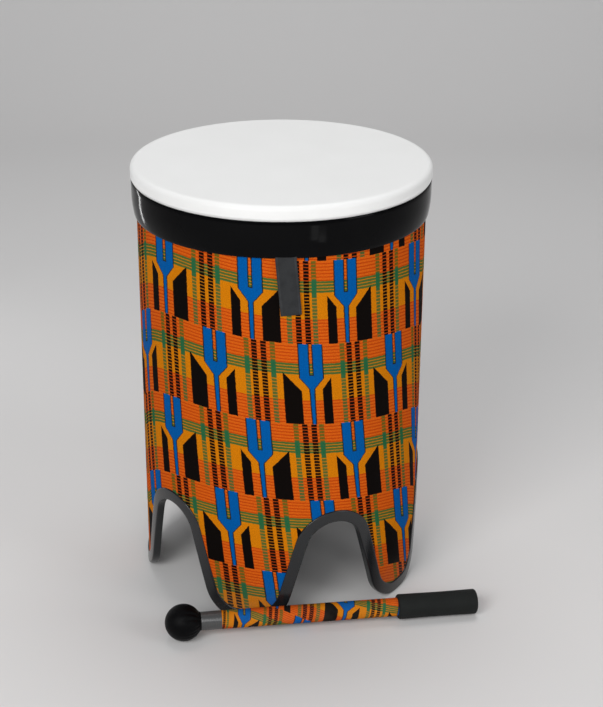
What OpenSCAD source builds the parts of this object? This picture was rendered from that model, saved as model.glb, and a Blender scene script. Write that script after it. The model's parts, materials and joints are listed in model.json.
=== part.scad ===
// Floor-standing hand drum on five scalloped legs, with its beater.
// Frame: origin on the drum's axis at floor level, +Z up, front towards -Y.
// Angles round the drum are measured from the front (-Y) towards +X.

/* [Shell] */
// Outer diameter of the bare shell tube
shell_d = 294; // [200:1:420]
// Height from the floor to the playing surface
drum_h = 455.4; // [300:0.1:700]
// Wall of the shell tube
shell_wall = 5; // [3:0.5:8]
// Thickness of the cloth glued round the shell
cloth_t = 0.6; // [0.3:0.1:1.5]

/* [Legs] */
// Number of legs, with as many arches between them
leg_count = 5; // [3:1:6]
// Angle of the front leg's middle
leg_turn = -14.25; // [-36:0.25:36]
// Height of each arch above the floor
arch_h = 114.2; // [60:0.1:160]
// Radius of each arch's crown
arch_r = 30.4; // [20:0.1:40]
// Radius of each foot's corners
foot_r = 40.3; // [30:0.1:50]
// Lean of a leg's flanks from vertical
flank_lean = 16; // [8:0.5:20]
// Width of the edge trim's face
trim_face = 12.3; // [8:0.1:16]
// Thickness of the trim's two flanges
trim_flange = 1.3; // [0.8:0.1:2]

/* [Head and rim band] */
// Greatest diameter of the head's rounded collar
collar_d = 306; // [300:1:312]
// Thickness of the head film
film_t = 0.35; // [0.2:0.05:0.6]
// Radius of the head's rounded shoulder
shoulder_r = 5.6; // [4:0.1:8]
// Outer diameter of the rim band
band_d = 304.8; // [302:0.1:310]
// Height of the rim band
band_h = 37; // [25:1:50]
// Distance from the playing surface down to the band's upper edge
band_drop = 15; // [13:0.5:20]
// Wall of the rim band
band_wall = 1; // [0.8:0.1:1.2]

/* [Carrying loop] */
// Width of the webbing
strap_w = 20.4; // [12:0.1:30]
// Length of the loop that hangs below the band
strap_len = 57; // [30:1:90]
// Thickness of the two layers of webbing together
strap_t = 2.2; // [1.6:0.1:2.6]
// Angle round the drum of the loop's upper end
strap_turn = 1.7; // [-30:0.1:30]
// Lean of the loop to the right going down
strap_lean = 5.2; // [0:0.1:12]

/* [Beater] */
// Diameter of the beater's covered ball
ball_d = 37.8; // [25:0.1:50]
// Length from the ball's middle to the grip's end
beater_len = 307.6; // [200:0.1:400]
// Diameter of the covered stick
stick_d = 19.4; // [10:0.1:22]
// Diameter of the foam grip
grip_d = 25.8; // [23:0.1:32]
// Length of the foam grip
grip_len = 84.4; // [50:0.1:120]
// Where the tape collar starts, from the ball's middle
collar_start = 17.5; // [17:0.1:25]
// Length of the tape collar
collar_len = 21.4; // [10:0.1:30]
// Turn of the beater on the floor
beater_turn = 9.3; // [0:0.1:20]
// Distance from the drum's axis to the beater's centre line
beater_out = 158.2; // [158:0.1:200]
// Distance along that line from its nearest point back to the ball's middle
beater_back = 127.1; // [60:0.1:160]

/* [Hidden] */
$fn = 96;

shell_r = shell_d / 2;
bore_r = shell_r - shell_wall;
cloth_r = shell_r + cloth_t;
ring_h = 19.4;                              // the bearing ring's height above the shell
spigot_h = 13;                              // how far its spigot reaches down, clear of the washer
ring_wall = 3.5;                            // wall of that spigot
shell_top = drum_h - ring_h;
cut_slack = 0.4;                            // gap between the shell's edge and the trim's groove
trim_floor = 1.9;                           // thickness of the trim under its groove
slide_gap = 0.2;                            // gap on each side of the wall inside the groove
trim_round = 3.2;                           // rounding of the trim's free edge
foot_press = 0.3;                           // how much of its underside is pressed flat at the feet
trim_lip = 1.4;                             // bevel along the trim's free rims
trim_short = 1.6;                           // how much shorter the inner flange is

pitch = 360 / leg_count;
half_pitch = PI * cloth_r / leg_count;      // half a pitch, measured along the cloth
arch_z = arch_h - arch_r;                   // height of the arch circle's centre
flank_reach = (arch_r + foot_r) * sin(flank_lean);
foot_flat = half_pitch - (arch_r + foot_r) * cos(flank_lean)
            - tan(flank_lean) * (arch_z + flank_reach - foot_r);

collar_r = collar_d / 2;
band_r = band_d / 2;
band_top = drum_h - band_drop;
band_bottom = band_top - band_h;
band_draw = 2.5;                            // how far the band's lower edge draws in
band_foot_r = band_r - band_draw;
band_curve = 22.6;                          // height over which it draws in
band_lip = 1.2;                             // thickness of the edge turned under to the cloth
skirt_r = band_r - band_wall - 0.2;         // outer radius of the film's skirt inside the band
skirt_end = band_top - 15;
hoop_h = 6;
hoop_w = 2.6;
shoulder_x = collar_r - shoulder_r;
shoulder_z = drum_h - shoulder_r;

strap_in = cloth_r + 0.25;                  // radius of the loop's back
hinge_r = strap_in + strap_t / 2;           // radius of the line the loop swings about
hinge_z = band_bottom - strap_t / 2 - 0.4;
ends_t = 1.5;                               // the two layers pressed together under the band
ends_in = cloth_r + 0.1;
ends_gap = 0.15;                            // clearance above the loop and round the ends
ends_len = 20;                              // how far the ends reach up under the band
slot_slack = 1.2;                           // how much wider than the webbing the band's slot is
rivet_z = band_bottom + 12;
rivet_r = 2.4;
rivet_head_r = 4.5;
rivet_head_t = 0.6;
rivet_end_r = 4;                            // radius of the end spread over the washer
rivet_end_t = 0.8;
washer_r = 6;
washer_t = 1.2;
washer_seat = 0.2;                          // how far the washer beds into the bore's curve
hole_slack = 0.1;
hole_len = 30;

ball_r = ball_d / 2;
stick_r = stick_d / 2;
grip_r = grip_d / 2;
rod_r = stick_r - 0.7;
rod_in = 7;                                 // how far past the ball's middle the rod goes
rod_short = 4;                              // foam beyond the rod's far end
cover_t = 1.2;                              // thickness of the ball's cover
neck_r = stick_r - 0.3;                     // radius of the cover gathered on the stick
beater_dip = asin((ball_r - grip_r) / beater_len);
sleeve_start = collar_start + collar_len;
grip_start = beater_len - grip_len;

// ---- outline of the legs ---------------------------------------------------------------------
// Points [distance along the cloth, height] from a leg's middle to the next leg's middle,
// on the curve that lies inset from the free edge. Arcs join by straight flanks.
function foot_arc(inset, steps = 7) = [for (i = [0:steps])
    let (a = -90 + i * (90 - flank_lean) / steps)
    [foot_flat + (foot_r - inset) * cos(a), foot_r + (foot_r - inset) * sin(a)]];
function arch_arc(inset, steps = 8) = [for (i = [0:steps])
    let (a = 180 - flank_lean - i * (90 - flank_lean) / steps)
    [half_pitch + (arch_r + inset) * cos(a), arch_z + (arch_r + inset) * sin(a)]];
function flank(p, q, steps = 3) = [for (i = [1:steps]) p + (q - p) * i / (steps + 1)];
function half_leg(inset) = let (foot = foot_arc(inset), arch = arch_arc(inset))
    concat([[0, inset]], foot, flank(foot[len(foot) - 1], arch[0]), arch);
function full_leg(inset) = let (h = half_leg(inset), n = len(h))
    concat(h, [for (i = [n - 2:-1:1]) [2 * half_pitch - h[i][0], h[i][1]]]);

// A point of that curve, wrapped round the drum at radius r
function wrapped(p, leg, r) = let (a = leg_turn + leg * pitch + p[0] / cloth_r * 180 / PI)
    [r * sin(a), -r * cos(a), p[1]];
function wave_ring(inset, r) = let (curve = full_leg(inset))
    [for (leg = [0:leg_count - 1]) for (p = curve) wrapped(p, leg, r)];

// Faces of a closed band of rings: ring i holds the points i, i + count, i + 2 * count...
function ring_faces(count, sides) = [for (i = [0:count - 1]) for (k = [0:sides - 1])
    let (j = (i + 1) % count, m = (k + 1) % sides,
         a = i + k * count, b = j + k * count, c = j + m * count, d = i + m * count)
    each [[a, c, b], [a, d, c]]];

// Sweeps a closed profile of [radius, inset] corners along the wave
module sweep_wave(profile) {
    rings = [for (p = profile) each wave_ring(p[1], p[0])];
    polyhedron(points = rings, faces = ring_faces(len(rings) / len(profile), len(profile)), convexity = 10);
}

// Everything below the shell's wavy edge
module below_wave(inset, over = 12, under = 20) {
    top_in = wave_ring(inset, bore_r - over);
    top_out = wave_ring(inset, cloth_r + over);
    low_out = [for (p = top_out) [p[0], p[1], -under]];
    low_in = [for (p = top_in) [p[0], p[1], -under]];
    polyhedron(points = concat(top_in, low_in, low_out, top_out),
               faces = ring_faces(len(top_in), 4), convexity = 10);
}

module tube(outer, inner, z0, z1) {
    rotate_extrude($fn = 180) translate([inner, z0]) square([outer - inner, z1 - z0]);
}

// ---- shell, cloth and trim -------------------------------------------------------------------
module rivet_hole() {
    rotate([0, 0, strap_turn]) translate([0, -bore_r + hole_len / 3, rivet_z]) rotate([90, 0, 0])
        cylinder(r = rivet_r + hole_slack, h = hole_len);
}

module shell() {
    color("dimgray") difference() {
        tube(shell_r, bore_r, 0, shell_top);
        below_wave(trim_floor + cut_slack);
        rivet_hole();
    }
}

module fabric_wrap() {
    color("darkorange") difference() {
        tube(cloth_r, shell_r, 0, shell_top - 1);
        below_wave(trim_floor + cut_slack);
        rivet_hole();
    }
}

// One length of channel pushed on to the edge; its underside makes the five feet
module leg_edge_trim() {
    groove_in = bore_r - slide_gap;
    groove_out = cloth_r + slide_gap;
    inner = groove_in - trim_flange;
    outer = groove_out + trim_flange;
    inner_face = trim_face - trim_short;
    bevel = trim_lip / 3;
    // the rounded free edge: points on a quarter circle of radius trim_round
    low = -foot_press;
    mid = trim_round * (1 - sin(45));
    profile = [
        [groove_out, trim_floor], [groove_out, trim_face], [outer - bevel, trim_face],
        [outer, trim_face - trim_lip],
        [outer, low + trim_round], [outer - mid, low + mid], [outer - trim_round, low],
        [inner + trim_round, low], [inner + mid, low + mid], [inner, low + trim_round],
        [inner, inner_face - trim_lip], [inner + bevel, inner_face], [groove_in, inner_face],
        [groove_in, trim_floor]];
    color([0.16, 0.17, 0.18]) difference() {
        sweep_wave(profile);
        translate([-shell_d, -shell_d, -10]) cube([2 * shell_d, 2 * shell_d, 10]);
    }
}

// ---- head ------------------------------------------------------------------------------------
// Outer edge of the head's section: flat top, rounded shoulder, collar and skirt, inset by t
collar_low = 3.1;                           // where the collar starts to draw in, above the band
skirt_tuck = 0.5;                           // where it has drawn in, below the band's upper edge
function head_edge(t, steps = 8) = concat(
    [for (i = [0:steps]) let (a = 90 - i * 90 / steps)
        [shoulder_x + (shoulder_r - t) * cos(a), shoulder_z + (shoulder_r - t) * sin(a)]],
    [[collar_r - t, band_top + collar_low], [skirt_r - t, band_top - skirt_tuck]]);
function reversed(list) = [for (i = [len(list) - 1:-1:0]) list[i]];

// Moulded ring glued into the shell's mouth; the head bears on its rounded top
module bearing_ring() {
    spigot_r = bore_r - 0.1;
    inner = bore_r - ring_wall;
    color("dimgray") rotate_extrude($fn = 180) polygon(concat(
        [[inner, shell_top - spigot_h], [spigot_r, shell_top - spigot_h], [spigot_r, shell_top],
         [skirt_r - film_t, shell_top]],
        reversed(head_edge(film_t)),
        [[inner, drum_h - film_t]]));
}

module head_film() {
    color("white") rotate_extrude($fn = 180) polygon(concat(
        [[0, drum_h]], head_edge(0), [[skirt_r, skirt_end], [skirt_r - film_t, skirt_end]],
        reversed(head_edge(film_t)), [[0, drum_h - film_t]]));
}

// Steel hoop bonded inside the end of the film's skirt
module head_hoop() {
    outer = skirt_r - film_t;
    color("silver") tube(outer, outer - hoop_w, skirt_end + 0.5, skirt_end + 0.5 + hoop_h);
}

// Glossy band round the head's skirt. Its lower edge draws in and turns under to the cloth,
// with a slot in the turned edge where the webbing comes out.
module rim_band() {
    steps = 6;
    bevel = 0.35;
    lip_r = cloth_r + 0.2;
    slot_w = strap_w + slot_slack;
    draw_in = [for (i = [0:steps]) let (u = i / steps)
        [band_r - band_draw * pow(u, 2), band_bottom + band_curve * (1 - u)]];
    inside = [for (i = [steps - 1:-1:0]) draw_in[i] - [band_wall, 0]];
    color([0.03, 0.03, 0.035]) difference() {
        rotate_extrude($fn = 180) polygon(concat(
            [[band_r - band_wall, band_top], [band_r - bevel, band_top], [band_r, band_top - bevel]],
            draw_in,
            [[lip_r, band_bottom], [lip_r, band_bottom + band_lip],
             [band_foot_r - band_wall, band_bottom + band_lip]],
            inside));
        rotate([0, 0, strap_turn])
            translate([-slot_w / 2, -ends_in - ends_t - ends_gap, band_bottom - band_lip])
                cube([slot_w, 2 * ends_t, 3 * band_lip]);
    }
}

// ---- carrying loop ---------------------------------------------------------------------------
// The webbing's two ends, pressed flat under the band and riveted to the shell
module strap_ends() {
    lower = hinge_z + strap_t / 2 + ends_gap;
    color([0.2, 0.21, 0.22]) difference() {
        rotate([0, 0, strap_turn]) intersection() {
            translate([-strap_w / 2, -ends_in - 2 * ends_t, lower]) cube([strap_w, 3 * ends_t, ends_len]);
            tube(ends_in + ends_t, ends_in, hinge_z, band_top);
        }
        rivet_hole();
    }
}

// Places a shape whose +Z runs along the rivet towards the drum's axis, from the radius r
module on_rivet(r) {
    rotate([0, 0, strap_turn]) translate([0, -r, rivet_z]) rotate([-90, 0, 0]) children();
}

module strap_rivet() {
    head_r = ends_in + ends_t + rivet_head_t;
    end_at = bore_r - washer_seat - washer_t;
    color("silver") {
        on_rivet(head_r) cylinder(r = rivet_head_r, h = rivet_head_t);
        on_rivet(head_r) cylinder(r = rivet_r, h = head_r - end_at + rivet_end_t);
        on_rivet(end_at) cylinder(r = rivet_end_r, h = rivet_end_t);
    }
}

module strap_washer() {
    color("silver") on_rivet(bore_r - washer_seat) difference() {
        cylinder(r = washer_r, h = washer_t);
        translate([0, 0, -1]) cylinder(r = rivet_r + hole_slack, h = washer_t + 2);
    }
}

// Half of a round bar along X, above (or with side = -1 below) the plane z = 0
module half_bar(length, side = 1) {
    intersection() {
        rotate([0, 90, 0]) cylinder(r = strap_t / 2, h = length, center = true, $fn = 48);
        translate([-length, -strap_t, side > 0 ? 0 : -strap_t]) cube([2 * length, 2 * strap_t, strap_t]);
    }
}

// The loop itself: webbing folded at the bottom, hanging flat against the cloth. It leans, but
// its upper end is rounded about the level line that it swings on.
module strap_loop() {
    fold_z = -strap_len + strap_t / 2;
    color([0.2, 0.21, 0.22]) rotate([0, 0, strap_turn]) translate([0, -hinge_r, hinge_z]) {
        half_bar(strap_w / cos(strap_lean));
        intersection() {
            rotate([0, -strap_lean, 0]) union() {
                translate([-strap_w / 2, -strap_t / 2, fold_z]) cube([strap_w, strap_t, 2 * strap_len]);
                translate([0, 0, fold_z]) half_bar(strap_w, -1);
            }
            translate([-strap_len, -strap_t, -2 * strap_len]) cube([2 * strap_len, 2 * strap_t, 2 * strap_len]);
        }
    }
}

// ---- beater ----------------------------------------------------------------------------------
// Places a shape whose +Z runs along the stick, from the ball's middle towards the grip
module on_beater() {
    rotate([0, 0, beater_turn]) translate([-beater_back, -beater_out, ball_r])
        rotate([0, 90 + beater_dip, 0]) children();
}

module along_stick(outer, inner, z0, z1) {
    on_beater() translate([0, 0, z0]) difference() {
        cylinder(r = outer, h = z1 - z0);
        translate([0, 0, -1]) cylinder(r = inner, h = z1 - z0 + 2);
    }
}

module mallet_rod() {
    color("burlywood") on_beater() translate([0, 0, -rod_in])
        cylinder(r = rod_r, h = beater_len + rod_in - rod_short);
}

module mallet_core() {
    color("dimgray") on_beater() difference() {
        sphere(r = ball_r - cover_t);
        translate([0, 0, -rod_in]) cylinder(r = rod_r, h = beater_len);
    }
}

// Cloth cover drawn over the ball and down on to the stick under the tape
module mallet_cover() {
    inner = ball_r - cover_t;
    color([0.05, 0.05, 0.055]) on_beater() difference() {
        union() {
            sphere(r = ball_r);
            cylinder(r1 = ball_r - 2, r2 = neck_r, h = collar_start);
            cylinder(r = neck_r, h = collar_start + collar_len - 3);
        }
        sphere(r = inner);
        cylinder(r = rod_r, h = beater_len);
    }
}

module mallet_collar() {
    color([0.1, 0.1, 0.11]) along_stick(stick_r, neck_r, collar_start + 0.3, sleeve_start);
}

module mallet_sleeve() {
    color("darkorange") along_stick(stick_r, rod_r, sleeve_start, grip_start);
}

module mallet_grip() {
    edge = 3;
    steps = 4;
    low = grip_start + 0.1;
    // Quarter circle of the grip's rounded edge, from angle a0, about the height z
    function rounding(a0, z) = [for (i = [0:steps]) let (a = a0 + i * 90 / steps)
        [grip_r - edge + edge * cos(a), z + edge * sin(a)]];
    color([0.07, 0.07, 0.075]) on_beater() rotate_extrude() polygon(concat(
        [[rod_r, low]], rounding(-90, low + edge), rounding(0, beater_len - edge),
        [[0, beater_len], [0, beater_len - rod_short], [rod_r, beater_len - rod_short]]));
}

shell();
fabric_wrap();
leg_edge_trim();
bearing_ring();
head_film();
head_hoop();
rim_band();
strap_ends();
strap_rivet();
strap_washer();
strap_loop();
mallet_rod();
mallet_core();
mallet_cover();
mallet_collar();
mallet_sleeve();
mallet_grip();
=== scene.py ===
import json
import math
import random

import bmesh
import bpy
import numpy as np
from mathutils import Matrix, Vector


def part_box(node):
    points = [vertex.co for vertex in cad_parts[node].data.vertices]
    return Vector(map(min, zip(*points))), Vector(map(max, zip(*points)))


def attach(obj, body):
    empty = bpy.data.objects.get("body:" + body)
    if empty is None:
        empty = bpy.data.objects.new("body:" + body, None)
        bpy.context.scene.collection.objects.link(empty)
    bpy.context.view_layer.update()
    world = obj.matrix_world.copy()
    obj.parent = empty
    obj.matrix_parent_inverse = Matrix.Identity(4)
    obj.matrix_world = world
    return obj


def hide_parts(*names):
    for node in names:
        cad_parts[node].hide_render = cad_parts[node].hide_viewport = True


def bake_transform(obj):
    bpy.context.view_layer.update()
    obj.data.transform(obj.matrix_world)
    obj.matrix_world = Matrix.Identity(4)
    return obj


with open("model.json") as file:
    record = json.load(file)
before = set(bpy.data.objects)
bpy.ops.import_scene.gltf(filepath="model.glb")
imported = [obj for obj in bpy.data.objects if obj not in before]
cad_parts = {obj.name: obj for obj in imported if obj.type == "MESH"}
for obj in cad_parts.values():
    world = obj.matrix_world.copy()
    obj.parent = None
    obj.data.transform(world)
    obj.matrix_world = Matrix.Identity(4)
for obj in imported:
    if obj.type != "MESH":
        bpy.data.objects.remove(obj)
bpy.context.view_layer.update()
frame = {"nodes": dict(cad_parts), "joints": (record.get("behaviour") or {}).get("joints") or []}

nodes = frame["nodes"]


# ---- Shell ---------------------------------------------------------------------------------------
# The drum's body is a straight tube of dull black laminate, sawn into five legs at the bottom.
# It shows only inside the arches and from below, where it keeps faint marks of the winding.
def principled(name):
    """A new material with a Principled shader; returns (material, node tree, shader)."""
    m = bpy.data.materials.new(name)
    m.use_nodes = True
    t = m.node_tree
    return m, t, t.nodes["Principled BSDF"]


def put(tree, kind, *links, **settings):
    """Adds a node. links are (socket name or number, value or output) pairs."""
    n = tree.nodes.new(kind)
    for key, value in settings.items():
        setattr(n, key, value)
    for socket, value in links:
        if isinstance(value, bpy.types.NodeSocket):
            tree.links.new(value, n.inputs[socket])
        else:
            n.inputs[socket].default_value = value
    return n


class Term:
    """A number in a node tree, so that a formula can be written as one."""

    def __init__(self, tree, out):
        self.tree, self.out = tree, out

    def do(self, operation, *others, clamp=False):
        values = [self, *others]
        n = put(self.tree, "ShaderNodeMath", operation=operation, use_clamp=clamp)
        for i, v in enumerate(values):
            if isinstance(v, Term):
                self.tree.links.new(v.out, n.inputs[i])
            else:
                n.inputs[i].default_value = v
        return Term(self.tree, n.outputs[0])

    def __add__(self, o):
        return self.do("ADD", o)

    def __sub__(self, o):
        return self.do("SUBTRACT", o)

    def __mul__(self, o):
        return self.do("MULTIPLY", o)

    def __neg__(self):
        return self * -1.0

    def minus_from(self, o):
        return self * -1.0 + o

    def over(self, o):
        return self.do("DIVIDE", o)

    def wrap(self, high, low):
        return self.do("WRAP", high, low)

    def least(self, o):
        return self.do("MINIMUM", o)

    def most(self, o):
        return self.do("MAXIMUM", o)

    def abs(self):
        return self.do("ABSOLUTE")

    def inside(self, soft=0.15):
        """1 where the number is positive, 0 where it is negative, with a soft edge."""
        return self.do("MULTIPLY_ADD", 1.0 / soft, 0.5, clamp=True)

    def between(self, low, high, soft=0.15):
        middle, half = (low + high) / 2, (high - low) / 2
        return ((self - middle).abs() * -1.0 + half).inside(soft)


def mixed(tree, factor, a, b, blend="MIX"):
    """The colour a with b over it by factor."""
    n = put(tree, "ShaderNodeMix", (0, factor), (6, a), (7, b), data_type="RGBA", blend_type=blend)
    return n.outputs[2]


def new_group(name, inputs, outputs):
    """An empty shader node group with named sockets; returns (group, input node, output node)."""
    g = bpy.data.node_groups.new(name, "ShaderNodeTree")
    for label, kind, value in inputs:
        s = g.interface.new_socket(label, in_out="INPUT", socket_type="NodeSocket" + kind)
        if value is not None:
            s.default_value = value
    for label, kind in outputs:
        g.interface.new_socket(label, in_out="OUTPUT", socket_type="NodeSocket" + kind)
    return g, g.nodes.new("NodeGroupInput"), g.nodes.new("NodeGroupOutput")


def placed(tree, group, *links):
    """Places a node group in a material."""
    return put(tree, "ShaderNodeGroup", *links, node_tree=group)


def bumped(tree, shader, height, distance, strength=1.0):
    n = put(tree, "ShaderNodeBump", ("Height", height), ("Distance", distance), ("Strength", strength))
    tree.links.new(n.outputs["Normal"], shader.inputs["Normal"])
    return n


def object_point(tree):
    return put(tree, "ShaderNodeTexCoord").outputs["Object"]


def mesh_uv(tree):
    return put(tree, "ShaderNodeUVMap", uv_map="UVMap").outputs["UV"]


def moulded_grain():
    """Fine grain of a moulded or filmed surface: a mottle of the finish, and its relief."""
    g, i, o = new_group(
        "moulded_grain",
        [("Vector", "Vector", None), ("Scale", "Float", 900.0), ("Blotch", "Float", 25.0)],
        [("Relief", "Float"), ("Mottle", "Float")])
    fine = put(g, "ShaderNodeTexNoise", ("Vector", i.outputs["Vector"]), ("Scale", i.outputs["Scale"]),
               ("Detail", 2.0))
    wide = put(g, "ShaderNodeTexNoise", ("Vector", i.outputs["Vector"]), ("Scale", i.outputs["Blotch"]),
               ("Detail", 4.0), ("Roughness", 0.6))
    g.links.new(fine.outputs["Fac"], o.inputs["Relief"])
    g.links.new(wide.outputs["Fac"], o.inputs["Mottle"])
    return g


def floor_dust():
    """Dust and scuffs that thin out above the floor: a mask from a point's height."""
    g, i, o = new_group(
        "floor_dust",
        [("Vector", "Vector", None), ("Reach", "Float", 0.05), ("Amount", "Float", 0.4)],
        [("Mask", "Float")])
    height = Term(g, put(g, "ShaderNodeSeparateXYZ", (0, i.outputs["Vector"])).outputs["Z"])
    low = (height.over(Term(g, i.outputs["Reach"]))).minus_from(1.0).do("MAXIMUM", 0.0, clamp=True)
    patchy = put(g, "ShaderNodeTexNoise", ("Vector", i.outputs["Vector"]), ("Scale", 70.0), ("Detail", 5.0),
                 ("Roughness", 0.7))
    mask = low * low * (Term(g, patchy.outputs["Fac"]) * 1.6 - 0.35) * Term(g, i.outputs["Amount"])
    g.links.new(mask.do("MAXIMUM", 0.0, clamp=True).out, o.inputs["Mask"])
    return g


grain_group = moulded_grain()
dust_group = floor_dust()
DUST = (0.30, 0.27, 0.23, 1)


def paint(name, material):
    """Gives a CAD node its material."""
    o = nodes[name]
    o.data.materials.clear()
    o.data.materials.append(material)
    for face in o.data.polygons:
        face.material_index = 0
    return o


def shell_laminate():
    m, t, s = principled("shell_laminate")
    p = object_point(t)
    along = put(t, "ShaderNodeMapping", ("Vector", p), ("Scale", (60.0, 60.0, 900.0)))
    winding = put(t, "ShaderNodeTexNoise", ("Vector", along.outputs[0]), ("Scale", 1.0), ("Detail", 3.0))
    grain = placed(t, grain_group, ("Vector", p), ("Scale", 700.0), ("Blotch", 18.0))
    colour = mixed(t, grain.outputs["Mottle"], (0.018, 0.018, 0.019, 1), (0.045, 0.044, 0.043, 1))
    t.links.new(colour, s.inputs["Base Color"])
    rough = put(t, "ShaderNodeMapRange", ("Value", winding.outputs["Fac"]), ("To Min", 0.5), ("To Max", 0.75))
    t.links.new(rough.outputs[0], s.inputs["Roughness"])
    bumped(t, s, winding.outputs["Fac"], 0.0004, 0.6)
    return m


paint("shell", shell_laminate())


# ---- Bearing ring --------------------------------------------------------------------------------
# A grey moulded ring glued into the shell's mouth, on whose rounded top the head bears. It shows
# only from below, as a fine-grained moulding.
def ring_moulding():
    m, t, s = principled("ring_moulding")
    p = object_point(t)
    grain = placed(t, grain_group, ("Vector", p), ("Scale", 1400.0), ("Blotch", 40.0))
    colour = mixed(t, grain.outputs["Mottle"], (0.05, 0.05, 0.052, 1), (0.085, 0.085, 0.086, 1))
    t.links.new(colour, s.inputs["Base Color"])
    s.inputs["Roughness"].default_value = 0.55
    bumped(t, s, grain.outputs["Relief"], 0.0002, 0.5)
    return m


paint("bearing_ring", ring_moulding())


# ---- Printed cloth -------------------------------------------------------------------------------
# Cotton with a kente-style print, cut to the shell's wavy edge and glued round it, with a lapped
# and turned seam at the back. It was pulled askew as it went on, so rows sag and columns lean.
MM = 0.001
cloth_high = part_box("fabric_wrap")[1]
cloth_r, cloth_top = cloth_high.x, cloth_high.z
LEGS = 5
leg_turn = math.radians(-14.25)
arch_h = 0.1142
arch_r = 0.0304
foot_r = 0.0403
flank_lean = math.radians(16)
half_pitch = math.pi * cloth_r / LEGS
arch_z = arch_h - arch_r        # height of the arch circle's middle
foot_flat = (half_pitch - (arch_r + foot_r) * math.cos(flank_lean)
             - math.tan(flank_lean) * (arch_z + (arch_r + foot_r) * math.sin(flank_lean) - foot_r))
cloth_t = 0.45 * MM
cloth_lap = 9 * MM              # how far the seam's edges overlap
cloth_hidden = 5.2 * MM         # how far the cloth stops short of the wavy edge, under the trim

COLUMN = 96.0                   # width of one repeat of the print, in print millimetres
ROW = 86.0                      # height of one row
SHIFT = 39.6                    # how far the next row's forks stand to the left
STRIPE = 3.4                    # pitch of the fine stripes

ORANGE = (0.68, 0.118, 0.008, 1)
RED_ORANGE = (0.50, 0.050, 0.003, 1)
AMBER = (0.65, 0.200, 0.0030, 1)
GREEN = (0.024, 0.125, 0.032, 1)
TEAL = (0.018, 0.132, 0.052, 1)
OLIVE = (0.080, 0.115, 0.014, 1)
BLUE = (0.0010, 0.100, 0.365, 1)
INK = (0.0050, 0.0035, 0.0030, 1)
OUTLINE = (0.016, 0.020, 0.013, 1)


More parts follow.
